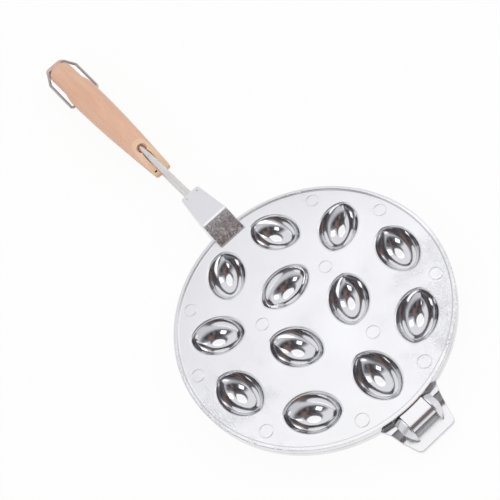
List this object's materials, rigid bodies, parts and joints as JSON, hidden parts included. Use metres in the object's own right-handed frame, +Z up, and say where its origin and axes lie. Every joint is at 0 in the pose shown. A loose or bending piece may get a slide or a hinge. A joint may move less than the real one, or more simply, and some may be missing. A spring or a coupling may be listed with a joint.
{
  "type": "walnut cookie mold",
  "caption": "Hinged round cast mould for walnut-shaped cookies, with nut hollows in its plates, a split wooden handle on two rods and a swinging wire bail.",
  "frame": {"origin": "middle of the object's length and width, on the surface that its nut bulges stand on", "axes": "+Z up, +X along the handle towards its free end, +Y to the left seen from the hinge looking along the handle"},
  "size_m": [0.4882, 0.2, 0.0305],
  "materials": {
    "cast_aluminium": "satin casting, bright in the hollows",
    "rod_steel": "drawn steel",
    "grip_wood": "pale plain wood, lightly sanded",
    "brad_steel": "dark nail head",
    "wire_steel": "bright plated wire"
  },
  "bodies": {
    "base": {"lower_plate": "cast_aluminium", "lower_rod": "rod_steel", "lower_grip": "grip_wood", "lower_grip_brad": "brad_steel", "hinge_pin": "rod_steel"},
    "lid": {"upper_plate": "cast_aluminium", "upper_rod": "rod_steel", "upper_grip": "grip_wood", "upper_grip_brad": "brad_steel"},
    "bail": {"lock_bail": "wire_steel"}
  },
  "joints": [
    {"name": "lid_hinge", "type": "hinge", "parent": "base", "child": "lid", "pos_m": [-0.22925, 0, 0.01601], "axis": [0, -1, 0], "range_deg": [0, 168]},
    {"name": "bail_pivot", "type": "hinge", "parent": "base", "child": "bail", "pos_m": [0.19115, 0, 0.01201], "axis": [0, -1, 0], "range_deg": [0, 145]}
  ]
}
